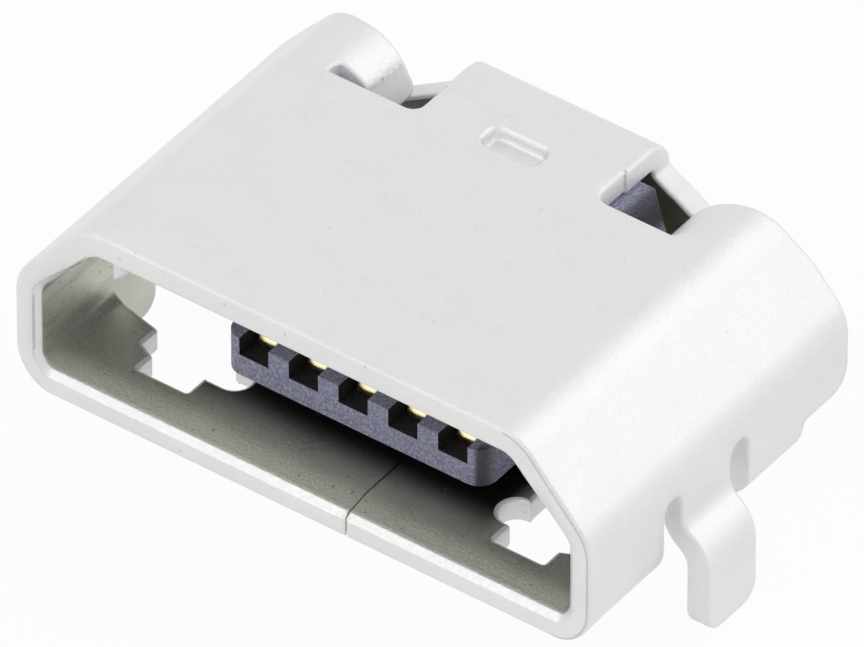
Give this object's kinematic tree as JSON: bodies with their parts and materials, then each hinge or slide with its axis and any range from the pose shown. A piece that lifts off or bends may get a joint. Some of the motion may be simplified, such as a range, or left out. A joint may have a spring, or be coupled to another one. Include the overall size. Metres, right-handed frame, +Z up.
{
  "type": "usb connector",
  "caption": "Board-mount receptacle with a trapezoid mouth: a folded sheet shell with two through-hole stakes round a moulded tongue that carries gold-plated contacts with solder feet.",
  "frame": {"origin": "on the board's upper face, on the middle plane, midway between the two shell stakes", "axes": "+Z up from the board, the mouth faces -Y, +X to the right seen from the mouth"},
  "size_m": [0.0082, 0.0053, 0.0033],
  "materials": {
    "tinned_sheet": "satin tin plate",
    "filled_plastic": "matte, glass filled",
    "gold_plate": "bright gold plate"
  },
  "bodies": {
    "root": {"shell": "tinned_sheet", "housing": "filled_plastic", "contact_1": "gold_plate", "contact_2": "gold_plate", "contact_3": "gold_plate", "contact_4": "gold_plate", "contact_5": "gold_plate"}
  },
  "joints": []
}
